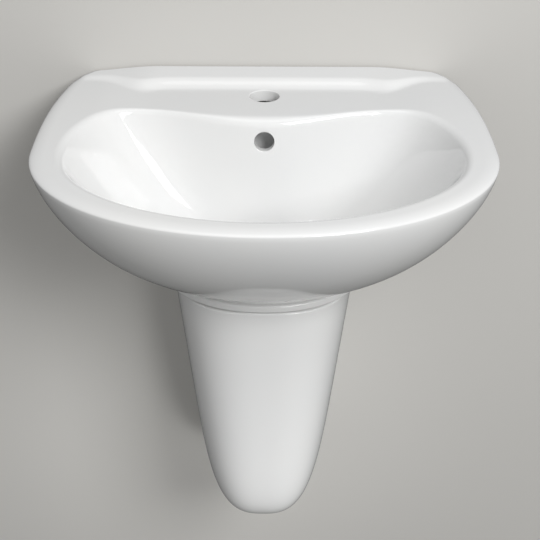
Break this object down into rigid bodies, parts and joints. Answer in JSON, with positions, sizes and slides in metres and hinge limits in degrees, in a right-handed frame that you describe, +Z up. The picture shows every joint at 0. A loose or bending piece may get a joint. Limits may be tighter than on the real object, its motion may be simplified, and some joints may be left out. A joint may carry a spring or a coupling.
{
  "type": "wall-hung washbasin with half pedestal",
  "caption": "White china washbasin for a wall, with a half pedestal hiding a bottle trap, a bare tap hole, an overflow and a press plug.",
  "frame": {"origin": "on the wall plane, midway between the two bolts that carry the basin", "axes": "+X to the right of a person standing at the basin, +Y into the wall, +Z up"},
  "size_m": [0.5004, 0.476, 0.5537],
  "materials": {
    "china": "glossy white glaze",
    "chrome": "polished chrome plate",
    "brass": "turned",
    "spring_steel": "drawn wire",
    "rubber": "matt",
    "white_plastic": "moulded, satin",
    "grey_plastic": "moulded, matt",
    "bush_plastic": "moulded, matt",
    "zinc_steel": "zinc plated"
  },
  "bodies": {
    "sink": {"basin": "china", "semi_pedestal": "china", "waste_body": "chrome", "waste_backnut": "brass", "plug_spring": "spring_steel", "click_cartridge": "grey_plastic", "waste_flange_seal": "rubber", "waste_lower_washer": "rubber", "trap_inlet_washer": "rubber", "trap_slip_seal": "rubber", "trap_outlet_seal": "rubber", "trap_inlet_nut": "white_plastic", "trap_inlet_pipe": "white_plastic", "trap_slip_nut": "white_plastic", "trap_body": "white_plastic", "trap_outlet_nut": "white_plastic", "outlet_pipe": "white_plastic", "wall_rosette": "white_plastic", "basin_bolts": "zinc_steel", "basin_bolt_washers": "zinc_steel", "basin_bolt_nuts": "zinc_steel", "pedestal_bolts": "zinc_steel", "pedestal_bolt_washers": "zinc_steel", "pedestal_bolt_nuts": "zinc_steel", "basin_wall_plugs": "grey_plastic", "pedestal_wall_plugs": "grey_plastic", "basin_bolt_bushes": "bush_plastic", "pedestal_bolt_bushes": "bush_plastic"},
    "plug": {"plug_cap": "chrome", "plug_seal": "rubber", "plug_stem": "brass"},
    "cup_ring": {"trap_cup_seal": "rubber"},
    "cup": {"trap_cup": "white_plastic"}
  },
  "joints": [
    {"name": "plug_press", "type": "slide", "parent": "sink", "child": "plug", "axis": [0, 0, -1], "range_m": [0, 0.009], "stiffness_N_per_m": 400, "springref_m": -0.015, "deforming": ["plug_spring"]},
    {"name": "cup_drop", "type": "slide", "parent": "sink", "child": "cup_ring", "axis": [0, 0, -1], "range_m": [0, 0.012]},
    {"name": "cup_turn", "type": "hinge", "parent": "cup_ring", "child": "cup", "pos_m": [0, -0.195, -0.29], "axis": [0, 0, -1], "range_deg": [0, 1080]}
  ],
  "couplings": [
    {"joint": "cup_drop", "follows": "cup_turn", "m_per_rad": 0.00063662}
  ]
}
